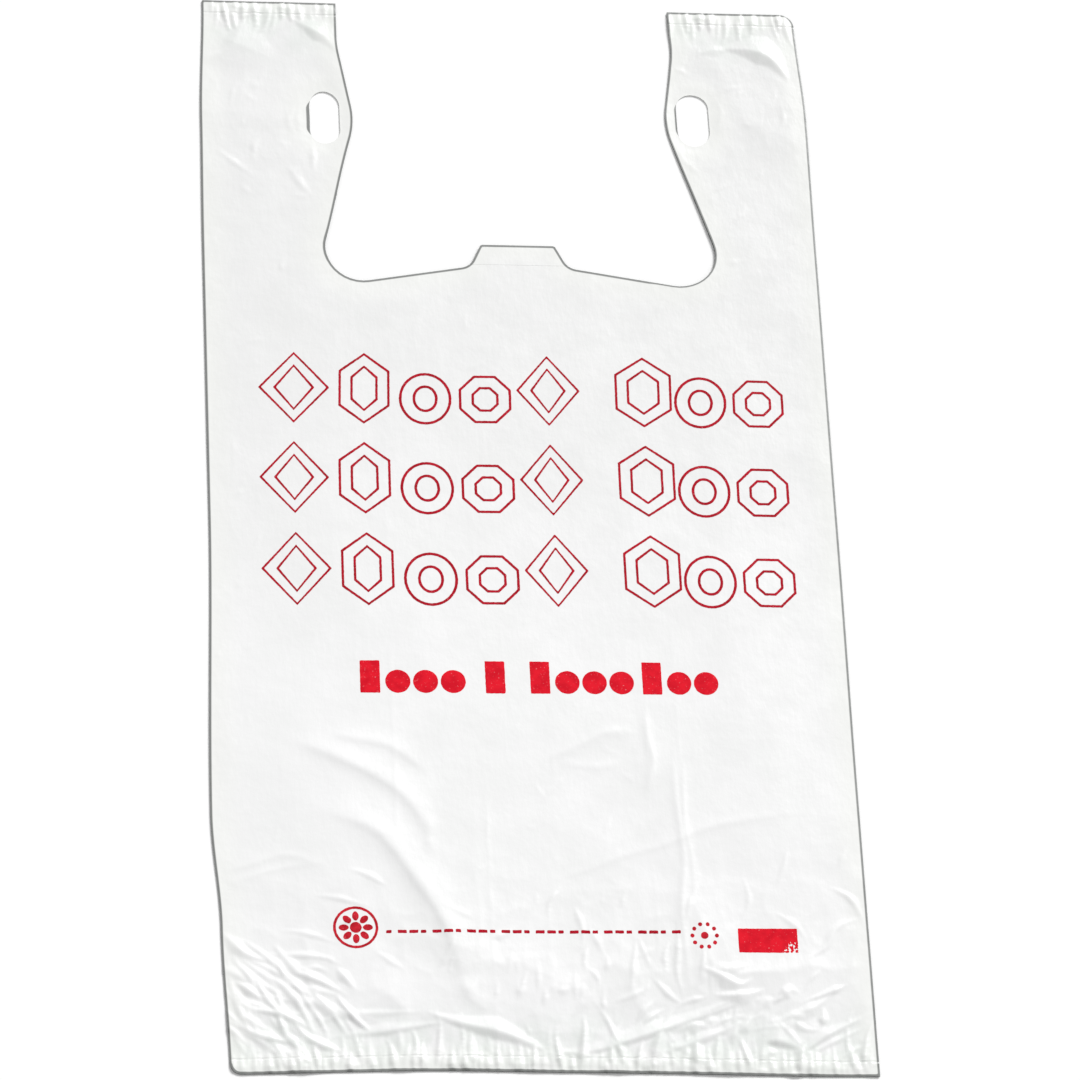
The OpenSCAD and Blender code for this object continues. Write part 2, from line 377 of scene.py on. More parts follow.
# Crisp pleats, in the same order.
PLEATS = [
    ([(-92, -176), (-81, -180), (-70, -187)], 0.45, 2.6, 1.8),
    ([(-109, -189), (-95, -191), (-78, -196)], 0.45, 2.4, 1.4),
    ([(-81, -215), (-73, -221), (-64, -227)], 0.40, 2.6, 2.0),
    ([(-142, -207), (-129, -217), (-113, -233), (-106, -241)], 0.75, 3.4, 2.0),
    ([(-143, -209), (-139, -223), (-124, -235), (-108, -241)], 0.75, 3.0, 2.2),
    ([(-143, -231), (-132, -237), (-119, -239), (-101, -242)], 0.65, 2.4, 1.8),
    ([(-143, -235), (-130, -244), (-114, -246), (-99, -245)], 0.60, 2.2, 1.6),
    ([(-144, -213), (-143, -233), (-137, -252), (-123, -271)], 0.95, 3.2, 2.4),
    ([(-140, -233), (-133, -254), (-117, -271)], 0.85, 3.0, 2.2),
    ([(-136, -241), (-128, -257), (-111, -271)], 0.85, 2.8, 2.0),
    ([(-144, -240), (-143, -256), (-134, -271)], 0.60, 2.2, 1.8),
    ([(-131, -241), (-120, -257), (-104, -271)], 0.80, 2.8, 2.0),
    ([(-125, -244), (-114, -256), (-98, -270)], 0.65, 2.4, 1.8),
    ([(-125, -205), (-108, -208), (-92, -214)], 0.40, 2.4, 1.6),
    ([(-132, -217), (-112, -218), (-100, -220), (-91, -227)], 0.60, 2.6, 1.8),
    ([(-124, -223), (-111, -225), (-97, -235)], 0.60, 2.4, 2.0),
    ([(-116, -227), (-106, -224), (-97, -228)], 0.55, 1.8, 1.4),
    ([(-115, -231), (-106, -236), (-97, -232)], 0.55, 1.8, 1.4),
    ([(-113, -257), (-101, -248), (-80, -246), (-54, -246)], 0.55, 2.4, 3.0),
    ([(-109, -258), (-79, -255), (-58, -252), (-44, -250)], 0.75, 4.5, 2.2),
    ([(-60, -245), (-43, -251), (-22, -256), (4, -268)], 1.45, 7.0, 4.2),
    ([(-16, -262), (11, -264), (36, -257), (73, -244), (96, -235)], 1.25, 6.5, 2.4),
    ([(22, -265), (51, -252), (81, -239), (96, -234)], 0.80, 3.4, 1.6),
    ([(36, -268), (60, -259), (80, -251), (98, -243)], 1.05, 4.5, 2.6),
    ([(64, -222), (74, -226), (84, -231), (92, -227)], 1.35, 2.6, 6.0),
    ([(70, -236), (84, -236), (97, -233)], 1.15, 2.2, 6.0),
    ([(50, -254), (62, -250), (74, -252)], 1.00, 2.2, 6.5),
    ([(88, -263), (98, -257), (114, -262)], 1.30, 11.0, 3.0),
    ([(96, -243), (105, -253), (114, -262)], 0.90, 3.0, 2.6),
    ([(100, -263), (112, -261), (123, -254), (146, -243)], 1.15, 3.6, 2.4),
    ([(106, -268), (122, -259), (146, -248)], 0.80, 2.6, 1.8),
    ([(120, -270), (133, -262), (147, -255)], 0.70, 2.4, 1.8),
    ([(42, -225), (52, -237), (62, -243)], 0.55, 2.6, 1.8),
    ([(39, -205), (36, -225), (34, -243)], 0.55, 2.4, 2.0),
    ([(58, -196), (57, -215), (56, -227), (60, -243)], 0.65, 2.4, 2.0),
    ([(69, -210), (68, -222), (64, -236)], 0.50, 2.0, 1.6),
    ([(-4, -148), (4, -138), (11, -130)], 0.22, 1.8, 1.4),
    ([(0, -143), (8, -134), (13, -125)], 0.20, 1.6, 1.2),
    ([(113, -221), (125, -214), (132, -204), (146, -199)], 0.60, 3.6, 2.2),
    ([(126, -184), (139, -191), (145, -206)], 0.60, 2.8, 2.2),
    ([(112, -162), (108, -176), (103, -188)], 0.35, 2.2, 1.8),
    ([(139, -164), (133, -178)], 0.30, 1.8, 1.6),
    ([(88, -178), (91, -191), (86, -204)], 0.32, 2.2, 1.8),
    ([(70, -182), (64, -192), (61, -207)], 0.40, 2.2, 1.8),
    ([(100, -196), (112, -204), (118, -214)], 0.35, 2.4, 2.0),
]
# The same on the handles.
STRAP_PLEATS = [
    ([(-104, 264), (-94, 258), (-88, 254), (-81, 245)], 1.20, 12.0, 4.6),
    ([(-126, 268), (-129, 256), (-134, 246), (-147, 241)], 0.75, 24.0, 5.0),
    ([(106, 253), (122, 252), (132, 247), (140, 234)], 1.45, 11.0, 7.0),
    ([(92, 249), (103, 252), (115, 252)], 0.30, 3.0, 4.0),
    ([(-99, 200), (-96, 191), (-97, 178)], 0.42, 2.6, 2.4),
    ([(-108, 187), (-104, 176), (-96, 163)], 0.30, 3.0, 2.4),
    ([(-141, 194), (-133, 186), (-121, 175)], 0.30, 2.8, 1.8),
    ([(-115, 203), (-122, 195), (-121, 185)], 0.28, 2.2, 1.8),
    ([(-97, 224), (-102, 214), (-101, 204), (-97, 196)], 0.30, 1.5, 1.5),
    ([(-101, 222), (-106, 210), (-102, 197)], 0.26, 1.7, 1.7),
    ([(78, 238), (84, 240), (92, 235)], 0.26, 2.2, 1.8),
    ([(79, 228), (75.5, 214), (79, 198)], 0.20, 1.3, 1.3),
    ([(101, 226), (103, 214), (99, 202)], 0.26, 1.8, 1.8),
    ([(79, 196), (84, 188), (92, 180)], 0.28, 2.6, 2.0),
    ([(104, 216), (105, 228), (117, 230), (127, 229)], 0.14, 2.0, 1.6),
    ([(133, 223), (134, 211), (129, 203)], 0.20, 2.2, 1.8),
]
# Pleats that the welds gather: weld, side, from x, to x, spacing, height, reach, seed.
WELD_PUCKERS = [
    (PANEL_Y, 1, -128, HALF_W, 4.6, 0.50, 27, 1),
    (PANEL_Y, 1, -HALF_W, HALF_W, 3.0, 0.45, 11, 13),
    (HANDLE_WELD_LOW_Y, -1, -HALF_W, -HANDLE_IN_X, 3.0, 0.42, 14, 2),
    (HANDLE_WELD_LOW_Y, -1, HANDLE_IN_X, HALF_W, 3.0, 0.42, 14, 3),
]
# Patches of short pleats: count, centre, spread, angle, turn, length, height, width, seed.
SCATTERED_PLEATS = [
    (44, (-124, -240), (15, 14), -46, 13, 40, 1.05, 2.8, 4),
    (34, (104, -247), (28, 11), 32, 28, 26, 0.75, 2.6, 5),
    (46, (15, -232), (46, 16), 84, 24, 22, 0.40, 2.0, 6),
    (40, (30, -160), (55, 34), 50, 45, 18, 0.12, 1.6, 7),
    (30, (-134, -20), (8, 110), 60, 30, 16, 0.10, 1.5, 8),
    (26, (-112, 205), (20, 34), -40, 40, 14, 0.15, 1.6, 9),
    (26, (112, 205), (20, 34), 40, 40, 14, 0.15, 1.6, 10),
    (20, (0, 100), (90, 12), 60, 30, 20, 0.08, 1.5, 11),
    (90, (0, 0), (95, 100), 70, 60, 12, 0.05, 1.2, 12),
]
# Creases of the gussets and of the blown tube that show through the front: x, height.
SHOWN_CREASES = [(-CREASE_X - 3, 0.12), (CREASE_X, 0.16), (CREASE_X - 15, 0.10), (-26.5, 0.14)]


def weld_puckers(relief, weld_y, way, x0, x1, spacing, tall, reach, seed):
    """Pleats that start at the cut edge beyond a weld, cross it and run to a point in the bag."""
    rng = np.random.default_rng(SEED + seed)
    x = x0 + 1
    while x < x1 - 1:
        length = reach * (0.3 + 0.9 * rng.random() ** 1.6)
        lean = rng.normal(0.05, 0.3)
        bend = rng.normal(0, 0.15)
        ends = [weld_y - way * 9, weld_y + way * length / 2, weld_y + way * length]
        points = [(x, ends[0]), (x + lean * length / 2, ends[1]), (x + (lean + bend) * length, ends[2])]
        width = 1.2 + 2.2 * rng.random()
        height = tall * (0.4 + 0.8 * rng.random()) * width
        relief.pleat(points, height, width, width * (0.6 + 0.9 * rng.random()), widest=0.3)
        x += spacing * (0.35 + 1.3 * rng.random())


def scattered_pleats(relief, count, centre, spread, angle, turn, length, height, width, seed):
    """A patch of short pleats about one direction."""
    rng = np.random.default_rng(SEED + seed)
    for _ in range(count):
        cx, cy = rng.normal(centre, spread)
        a = math.radians(rng.normal(angle, turn))
        half = length * (0.4 + 0.8 * rng.random()) / 2
        sag = rng.normal(0, 0.18) * half
        way = np.array([math.cos(a), math.sin(a)])
        across = np.array([-way[1], way[0]])
        points = [np.array([cx, cy]) + way * half * t + across * sag * (1 - t * t) for t in (-1, 0, 1)]
        w = width * (0.6 + 0.9 * rng.random())
        widest = 0.25 + 0.5 * rng.random()
        relief.pleat(points, height * (0.5 + rng.random()), w, w * (0.4 + rng.random()), widest)


def spread_from_welds(y):
    """0 at the welds, 1 where the plies lie apart."""
    return smooth((y - PANEL_Y) / 34) * smooth((HANDLE_WELD_LOW_Y - y) / 40)


EDGE_HEIGHT = 0.85      # the front ply at the side folds and the welds
BACK_HEIGHT = 0.10      # the back ply where it has no fold
SLOT_DIP = 0.28         # how much lower the front ply is at a hang slot's rim
LEAST_GAP = 0.42        # between the back ply and the front ply, anywhere
FACET_MIDDLE = 0.25     # what a net of facets is about on average


def slot_nearness(x, y, reach=4):
    """1 at the rim of a hang slot, fading to 0 within a few millimetres."""
    d = np.minimum(*[slot_distance(x, y, cx) for cx in (-SLOT_X, SLOT_X)])
    return np.exp(-(np.maximum(d, 0) / reach) ** 2)


def quiet_at_edges(x, y, least):
    """How much of its folds the film keeps: least at the side folds and cut edges, 1 inside."""
    side = smooth((HALF_W - np.abs(x)) / 9)
    cut = smooth(np.minimum(-die_cut(x, y), 20) / 14)
    return (least + (1 - least) * side) * (least + (1 - least) * cut)


def front_base(x, y):
    """Height of the front ply without its folds: low at the side folds, the welds and the slots."""
    rise = 1.2 * smooth((HALF_W - np.abs(x)) / 60) * (1 - 0.86 * smooth((y - 20) / 165))
    rise *= 1 - slot_nearness(x, y, 13)
    return EDGE_HEIGHT - SLOT_DIP * slot_nearness(x, y) + rise * spread_from_welds(y)


def front_relief(pitch):
    """Height of the front ply above the surface, in millimetres."""
    r = Relief(pitch)
    x, y = r.gx, r.gy
    for points, height, left, right in SOFT_FOLDS:
        r.crease(points, height, left, right, fade=0.3, soft=0.4)
    for points, height, left, right in PLEATS + STRAP_PLEATS:
        r.pleat(points, height, left, right)
    for pucker in WELD_PUCKERS:
        weld_puckers(r, *pucker)
    for patch in SCATTERED_PLEATS:
        scattered_pleats(r, *patch)

    # faint broken lines, clearer in the lower half
    for cx, h in SHOWN_CREASES:
        wander = cx + 0.8 * lattice_noise(y * 0, y, 60, int(abs(cx)))
        broken = smooth(0.5 + 1.2 * lattice_noise(y * 0 + cx, y, 45, 70 + int(abs(cx))))
        low_half = smooth((60 - y) / 120)
        r.z += h * broken * low_half * np.exp(-np.abs(x - wander) / 0.8)

    # crumpled film: most near the bottom, some on the handles, hardly any between
    low = smooth((-130 - y) / 110)
    high = smooth((y - 150) / 60)
    lively = 0.05 + 0.95 * np.maximum(low, 0.32 * high)
    r.z += lively * 1.1 * (facets(x, y, 36, 20) - FACET_MIDDLE)
    r.z += lively * 0.36 * (facets(x, y, 14, 23) - FACET_MIDDLE)
    r.z += (0.012 + 0.06 * lively) * (facets(x, y, 5.5, 26) - FACET_MIDDLE)
    r.z += 0.35 * lattice_noise(x, y, 75, 40) + 0.16 * lattice_noise(x, y * 0.7, 32, 50)

    r.z += r.ridges
    r.z = front_base(x, y) + r.z * quiet_at_edges(x, y, 0.4) * (1 - slot_nearness(x, y))
    least = BACK.sample(x, y) + LEAST_GAP
    over = r.z - least
    r.z = least + 0.5 * (over + np.sqrt(over ** 2 + 0.01))
    return r


def back_relief(pitch):
    """Height of the back ply above the surface, in millimetres."""
    r = Relief(pitch)
    x, y = r.gx, r.gy
    scattered_pleats(r, 90, (0, -60), (90, 150), 60, 60, 40, 0.35, 3.0, 60)
    weld_puckers(r, PANEL_Y, 1, -HALF_W, HALF_W, 6, 0.2, 24, 61)
    folds = r.ridges + 0.22 * facets(x, y, 40, 62)
    r.z = BACK_HEIGHT + folds * quiet_at_edges(x, y, 0.2) * (1 - slot_nearness(x, y))
    return r


BACK = back_relief(1.0)
FRONT = front_relief(0.7)
FOLD_TURN = 1.2     # how near the side fold a ply starts to turn to its neighbour
CREASE_TURN = 3.0   # the same at a gusset's crease


def ply_height(share, fold_share=None, crease_share=None):
    """Heights of a ply between back and front: 0 is the back ply, 1 the front.
    It turns to fold_share at the side folds and to crease_share at the gusset's crease."""
    def height(x, y):
        s = np.full(np.shape(x), float(share))
        if fold_share is not None:
            near = 1 - np.clip((HALF_W - np.abs(x)) / FOLD_TURN, 0, 1)
            s += (fold_share - share) * (1 - np.sqrt(np.clip(1 - near ** 2, 0, 1)))
        if crease_share is not None:
            near = 1 - np.clip((np.abs(x) - CREASE_X) / CREASE_TURN, 0, 1)
            s += (crease_share - share) * (1 - np.sqrt(np.clip(1 - near ** 2, 0, 1)))
        low, high = BACK.sample(x, y), FRONT.sample(x, y)
        return low + (high - low) * s
    return height


front_z = ply_height(1, fold_share=0.84)
gusset_front_z = ply_height(0.66, fold_share=0.80, crease_share=0.49)
gusset_back_z = ply_height(0.32, fold_share=0.20, crease_share=0.47)
back_z = ply_height(0, fold_share=0.16)


# ---- meshes ----

def lines(low, high, pitch, fine_low=0.0, fine_high=0.0, fine=0.5):
    """Grid lines from low to high, closer together within fine_low and fine_high of the ends."""
    cuts = [low, low + fine_low, high - fine_high, high]
    steps = [fine, pitch, fine]
    out = [np.array([low])]
    for a, b, step in zip(cuts, cuts[1:], steps):
        if b > a + 1e-9:
            n = max(1, round((b - a) / step))
            out.append(np.linspace(a, b, n + 1)[1:])
    return np.concatenate(out)


def cut_cells(xs, ys, distance):
    """Polygons of a grid cut along distance = 0: points (x, y) and faces, each a list of indices."""
    gx, gy = np.meshgrid(xs, ys)
    d = distance(gx, gy)
    inside = d < 0
    ny, nx = d.shape
    index = np.full(d.shape, -1)
    index[inside] = np.arange(inside.sum())
    points = [np.stack([gx[inside], gy[inside]], 1)]
    count = int(inside.sum())
    corner = inside[:-1, :-1].astype(int) + inside[:-1, 1:] + inside[1:, 1:] + inside[1:, :-1]
    j, i = np.nonzero(corner == 4)
    quads = np.stack([index[j, i], index[j, i + 1], index[j + 1, i + 1], index[j + 1, i]], 1)
    faces = quads.tolist()
    crossing = {}
    extra = []
    for j, i in zip(*np.nonzero((corner > 0) & (corner < 4))):
        ring = [(j, i), (j, i + 1), (j + 1, i + 1), (j + 1, i)]
        face = []
        for a, b in zip(ring, ring[1:] + ring[:1]):
            if inside[a]:
                face.append(int(index[a]))
            if inside[a] != inside[b]:
                key = (a, b) if a < b else (b, a)
                if key not in crossing:
                    p, q = key
                    t = np.clip(d[p] / (d[p] - d[q]), 0.06, 0.94)
                    crossing[key] = count + len(extra)
                    extra.append((gx[p] + (gx[q] - gx[p]) * t, gy[p] + (gy[q] - gy[p]) * t))
                face.append(crossing[key])
        if len(face) > 2:
            faces.append(face)
    if extra:
        points.append(np.array(extra))
    return np.vstack(points), faces


def rim_of(faces):
    """Edges that only one face has, each in that face's direction."""
    lengths = np.array([len(f) for f in faces])
    flat = np.concatenate([np.array(f) for f in faces]) if len(faces) else np.zeros(0, int)
    ends = np.cumsum(lengths)
    nxt = np.roll(flat, -1)
    nxt[ends - 1] = flat[ends - lengths]
    low, high = np.minimum(flat, nxt), np.maximum(flat, nxt)
    key = low.astype(np.int64) * (flat.max() + 1) + high
    _, first, counts = np.unique(key, return_index=True, return_counts=True)
    pick = first[counts == 1]
    return np.stack([flat[pick], nxt[pick]], 1)


def shell(points, faces, low_z, high_z):
    """A closed shell between two heights over flat points, eased into its lying place."""
    n = len(points)
    x, y = eased(points[:, 0], points[:, 1])
    verts = np.vstack([np.stack([x, y, high_z], 1), np.stack([x, y, low_z], 1)]) * MM
    rim = rim_of(faces)
    under = [[v + n for v in reversed(f)] for f in faces]
    walls = [[b, a, a + n, b + n] for a, b in rim.tolist()]
    return verts, faces + under + walls


def mesh_object(name, parts, marks):
    """One mesh object of one or more (verts, faces) shells, with point values in marks."""
    verts, faces, start = [], [], 0
    for v, f in parts:
        verts.append(v)
        faces += [[i + start for i in face] for face in f] if start else f
        start += len(v)
    verts = np.vstack(verts)
    mesh = bpy.data.meshes.new(name)
    lengths = np.array([len(f) for f in faces])
    mesh.vertices.add(len(verts))
    mesh.vertices.foreach_set("co", verts.astype(np.float32).ravel())
    mesh.loops.add(int(lengths.sum()))
    mesh.loops.foreach_set("vertex_index", np.concatenate([np.array(f) for f in faces]).astype(np.int32))
    mesh.polygons.add(len(faces))
    mesh.polygons.foreach_set("loop_start", (np.cumsum(lengths) - lengths).astype(np.int32))
    mesh.update(calc_edges=True)
    mesh.polygons.foreach_set("use_smooth", np.ones(len(faces), bool))
    mesh.set_sharp_from_angle(angle=math.radians(65))
    for key, values in marks.items():
        kind, field = ("FLOAT", "value") if values.ndim == 1 else ("FLOAT_VECTOR", "vector")
        attribute = mesh.attributes.new(key, kind, "POINT")
        attribute.data.foreach_set(field, values.astype(np.float32).ravel())
    obj = bpy.data.objects.new(name, mesh)
    bpy.context.scene.collection.objects.link(obj)
    return obj


# The dark line of painted shade at each hang slot, heavier on its left side: the slot's x, how strong on its
# left side, how strong on its right.
SLOT_LINES = ((-SLOT_X, 1.95, 0.3), (SLOT_X, 1.4, 0.3))


def edge_mark(x, y):
    """Distance to the bag's edge, for its dark line of painted edge shade. Hang slots have it on their
    straight sides only.
    """
    side = np.minimum(HALF_W - x, HALF_W + x + 0.3)
    edge = np.minimum(side, np.minimum(y - BOTTOM_Y, TOP_Y - y))
    straight = smooth(((SLOT_L - SLOT_W) / 2 + 5 - np.abs(y - SLOT_Y)) / 6)
    slot = np.full(np.shape(x), FAR)
    slot_line = np.full(np.shape(x), FAR)
    for cx, left, right in SLOT_LINES:
        d = slot_distance(x, y, cx)
        slot = np.minimum(slot, d)
        slot_line = np.minimum(slot_line, d + 1.5 - straight * np.where(x < cx, left, right))
    cut = -outline(x, y) + 0.3 * smooth((x - 60) / 6)
    return np.minimum(edge, np.where(slot < 3, np.where(cut < slot - 0.02, cut, slot_line), cut))


def flat_area(points, faces):
    """Area of the cut pattern in square metres."""
    total = 0.0
    for face in faces:
        px, py = points[face, 0], points[face, 1]
        total += abs(np.dot(px, np.roll(py, -1)) - np.dot(py, np.roll(px, -1))) / 2
    return total * MM * MM


FLAT_CUTS = {}          # width, length and area of every film, in metres
SHORTEST_SHEET = 0.01   # welds and skirts are shorter than this


def declare_sheets():
    """Goes over every film's flat cut and passes by the short welds and skirts; nothing else is done with
    them.
    """
    for name, (width, length, area) in FLAT_CUTS.items():
        if length < SHORTEST_SHEET:
            continue


def pattern_mark(points, copies):
    """The flat pattern's own coordinates in metres, so a material's grain stays on the film."""
    flat = np.stack([points[:, 0], points[:, 1], np.zeros(len(points))], 1) * MM
    return np.tile(flat, (copies, 1))


def film(name, nodes, xs, ys, distance, heights):
    """A piece of one or more plies, cut from the pattern, that stands for nodes. A height is a ply's
    middle, or a pair: the underside and the top of a thicker layer."""
    points, faces = cut_cells(xs, ys, distance)
    x, y = points[:, 0], points[:, 1]
    parts = []
    for height in heights:
        if isinstance(height, tuple):
            low_z, high_z = (h(x, y) for h in height)
        else:
            low_z, high_z = height(x, y) - FILM_T / 2, height(x, y) + FILM_T / 2
        parts.append(shell(points, faces, np.maximum(low_z, FLOOR_GAP), high_z))
    plies = len(heights)
    copies = 2 * plies
    marks = {
        "cut_mm": edge_mark(x, y),
        "weld_mm": np.minimum(np.abs(y - PANEL_Y), np.abs(HANDLE_WELD_LOW_Y - y)),
    }
    marks = {key: np.tile(values, copies) for key, values in marks.items()}
    marks["pattern"] = pattern_mark(points, copies)
    obj = mesh_object(name, parts, marks)
    width, length = np.ptp(points, axis=0) * MM
    FLAT_CUTS[name] = (plies * width, length, plies * flat_area(points, faces))
    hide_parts(*nodes)
    return obj


# ---- materials ----

class Nodes:
    """Small helper to build a material's nodes."""

    def __init__(self, name):
        self.material = bpy.data.materials.new(name)
        self.material.use_nodes = True
        self.tree = self.material.node_tree
        self.shader = self.tree.nodes["Principled BSDF"]

    def add(self, kind, values=(), links=()):
        node = self.tree.nodes.new(kind)
        for key, value in dict(values).items():
            if isinstance(key, str) and hasattr(node, key):
                setattr(node, key, value)
            else:
                node.inputs[key].default_value = value
        for key, socket in dict(links).items():
            self.tree.links.new(socket, node.inputs[key])
        return node

    def noise(self, vector, scale, detail=3.0, roughness=0.55):
        node = self.add("ShaderNodeTexNoise", {"Scale": scale, "Detail": detail, "Roughness": roughness},
                        {"Vector": vector})
        return node.outputs["Fac"]

    def ramp(self, value, low, high, out_low=0.0, out_high=1.0):
        node = self.add("ShaderNodeMapRange", {"From Min": low, "From Max": high, "To Min": out_low,
                                               "To Max": out_high}, {"Value": value})
        node.interpolation_type = "SMOOTHSTEP"
        return node.outputs["Result"]

    def math(self, operation, a, b):
        node = self.add("ShaderNodeMath")
        node.operation = operation
        for socket, value in zip(node.inputs, (a, b)):
            if isinstance(value, (int, float)):
                socket.default_value = value
            else:
                self.tree.links.new(value, socket)
        return node.outputs[0]

    def mix(self, factor, a, b):
        node = self.add("ShaderNodeMix")
        node.data_type = "RGBA"
        sockets = [s for s in node.inputs if s.type == "RGBA"]
        self.tree.links.new(factor, node.inputs["Factor"])
        for socket, value in zip(sockets, (a, b)):
            if isinstance(value, tuple):
                socket.default_value = (*value, 1)
            else:
                self.tree.links.new(value, socket)
        return next(s for s in node.outputs if s.type == "RGBA")

    def mark(self, key):
        return self.add("ShaderNodeAttribute", {"attribute_name": key}).outputs["Fac"]

    def vector(self, key):
        return self.add("ShaderNodeAttribute", {"attribute_name": key}).outputs["Vector"]

    def put(self, socket, value):
        if isinstance(value, (int, float, tuple)):
            self.shader.inputs[socket].default_value = value
        else:
            self.tree.links.new(value, self.shader.inputs[socket])

    def bump(self, height, strength, distance):
        node = self.add("ShaderNodeBump", {"Strength": strength, "Distance": distance}, {"Height": height})
        self.put("Normal", node.outputs["Normal"])


PALE_FILM = (0.875, 0.873, 0.876)
DULL_FILM = (0.850, 0.853, 0.850)
# painted shade: the darker film colour towards the top and right of the bag
TOP_RIGHT_SHADE_FILM = (0.787, 0.789, 0.785)
WELDED_FILM = (0.745, 0.785, 0.75)
SIDE_FILM = (0.85, 0.86, 0.825)
# painted shade: grey of the dark line along every cut edge, for the edge's shade and contact shadow, and
# partly the denser look of the stacked cut plies
EDGE_SHADE_LINE = (0.185, 0.192, 0.186)
BARE_SPECK = (0.80, 0.35, 0.36)


def shaded(colour, shade):
    return tuple(c * shade for c in colour)


def film_material(name, shade):
    """White high-density polyethylene film: satin, milky, greener where plies are pressed together, with
    painted shade towards the top and right and a dark line of painted edge shade along its cut edges.
    """
    n = Nodes(name)
    where = n.vector("pattern")
    cloud = n.noise(where, 14, 2)
    colour = n.mix(n.ramp(cloud, 0.3, 0.7), shaded(DULL_FILM, shade), shaded(PALE_FILM, shade))
    # painted shade: the film is painted darker towards the top and the right of the bag, a fall-off of light
    # put into its colour
    along_bag = n.add("ShaderNodeSeparateXYZ", {}, {"Vector": where})
    upper = n.ramp(along_bag.outputs["Y"], -0.10, 0.13)
    right = n.ramp(along_bag.outputs["X"], -0.02, 0.13)
    top_right_shade = n.math("ADD", n.math("MULTIPLY", upper, 0.75), n.math("MULTIPLY", right, 0.3))
    colour = n.mix(top_right_shade, colour, shaded(TOP_RIGHT_SHADE_FILM, shade))
    patches = n.ramp(n.noise(where, 70, 3), 0.35, 0.6)
    near_weld = n.math("MULTIPLY", n.ramp(n.mark("weld_mm"), 0, 30, 1, 0), patches)
    colour = n.mix(n.math("MULTIPLY", near_weld, 0.7), colour, shaded(WELDED_FILM, shade))
    side = n.ramp(n.mark("cut_mm"), 0, 16, 0.5, 0)
    colour = n.mix(side, colour, shaded(SIDE_FILM, shade))
    # painted edge shade: a dark line within about a millimetre of every cut edge
    line = n.ramp(n.mark("cut_mm"), 0.75, 1.3, 0.95, 0)
    colour = n.mix(line, colour, EDGE_SHADE_LINE)
    n.put("Base Color", colour)
    grain = n.noise(where, 55, 3)
    n.put("Roughness", n.ramp(grain, 0.3, 0.7, 0.27, 0.40))
    n.put("Specular IOR Level", 0.45)
    n.put("IOR", 1.54)
    along = n.add("ShaderNodeMapping", {}, {"Vector": where})
    along.inputs["Scale"].default_value = (1.0, 0.35, 1.0)
    ripples = n.noise(along.outputs[0], 420, 4, 0.6)
    n.bump(n.math("ADD", n.math("MULTIPLY", ripples, 0.5), n.noise(where, 130, 3)), 0.28, 0.0005)
    return n.material


def ink_material(name, thin, thick):
    """Red flexographic ink: uneven, with paler specks where the film shows through."""
    n = Nodes(name)
    where = n.vector("pattern")
    patch = n.noise(where, 190, 3)
    colour = n.mix(n.ramp(patch, 0.35, 0.65), thin, thick)
    speck = n.ramp(n.noise(where, 1100, 2), 0.64, 0.74, 0, 0.6)
    colour = n.mix(speck, colour, BARE_SPECK)
    n.put("Base Color", colour)
    n.put("Roughness", n.ramp(patch, 0.3, 0.7, 0.42, 0.58))
    n.put("Specular IOR Level", 0.05)
    n.bump(n.noise(where, 700, 2), 0.15, 0.0001)
    return n.material


FILM = film_material("film_outer", 1.0)
INNER_FILM = film_material("film_inner", 0.97)
WELD = film_material("film_weld", 0.985)
OUTLINE_INK = ink_material("red_ink_outlines", (0.36, 0.004, 0.014), (0.47, 0.008, 0.024))
SOLID_INK = ink_material("red_ink_solid", (0.62, 0.005, 0.018), (0.76, 0.009, 0.024))
SMALL_INK = ink_material("red_ink_small", (0.42, 0.010, 0.020), (0.60, 0.018, 0.034))


# ---- the films ----

PITCH = 1.1
FINE = 0.8
BACK_PITCH = 2.4
GUSSET_PITCH = 2.2
EDGE_BAND = 2.0         # strip along a side fold that has closer grid lines
EDGE_PITCH = 0.4
HIDDEN_EDGE_PITCH = 0.6
BLEND_END_Y = FOLD_Y - 3


def panel_cut(x, y):
    """Panel with its handle stubs, without the tab above its perforation."""
    above = np.minimum(y - PERF_Y, TAB_HALF * 2 - np.abs(x))
    return np.maximum(outline(x, y), above)


PANEL_COLUMNS = lines(-HALF_W, HALF_W, FINE, EDGE_BAND, EDGE_BAND, EDGE_PITCH)


def handle_columns(sign):
    return np.sort(sign * lines(BULGE_X - 2, HALF_W, FINE, 0, EDGE_BAND, EDGE_PITCH))


def make_panels():
    ys_low = lines(PANEL_Y, PERF_Y, PITCH, 90, 0, FINE)
    ys = np.concatenate([ys_low, lines(PERF_Y, FOLD_Y, PITCH)[1:]])
    front = film("front_film", ["front_panel"], PANEL_COLUMNS, ys, panel_cut, [front_z])
    coarse_x = lines(-HALF_W, HALF_W, BACK_PITCH, EDGE_BAND, EDGE_BAND, HIDDEN_EDGE_PITCH)
    coarse_y = np.concatenate([lines(PANEL_Y, PERF_Y, BACK_PITCH), lines(PERF_Y, FOLD_Y, BACK_PITCH)[1:]])
    back = film("back_film", ["back_panel"], coarse_x, coarse_y, panel_cut, [back_z])
    for panel, body in ((front, "front"), (back, "back")):
        panel.data.materials.append(FILM)
        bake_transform(panel, body, "gussets", start=(0, PERF_Y * MM, 0), end=(0, BLEND_END_Y * MM, 0))


def make_tabs():
    xs = lines(-28, 28, 1.0)
    ys = lines(PERF_Y, TAB_TOP_Y + 1, 0.9)
    for name, node, parent, body, height in (
        ("front_tab_film", "front_tab", "front", "front_tab", front_z),
        ("back_tab_film", "back_tab", "back", "back_tab", back_z),
    ):
        tab = film(name, [node], xs, ys, outline, [height])
        tab.data.materials.append(FILM)
        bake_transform(tab, parent, body, start=(0, PERF_Y * MM, 0), end=(0, (PERF_Y + 3) * MM, 0))


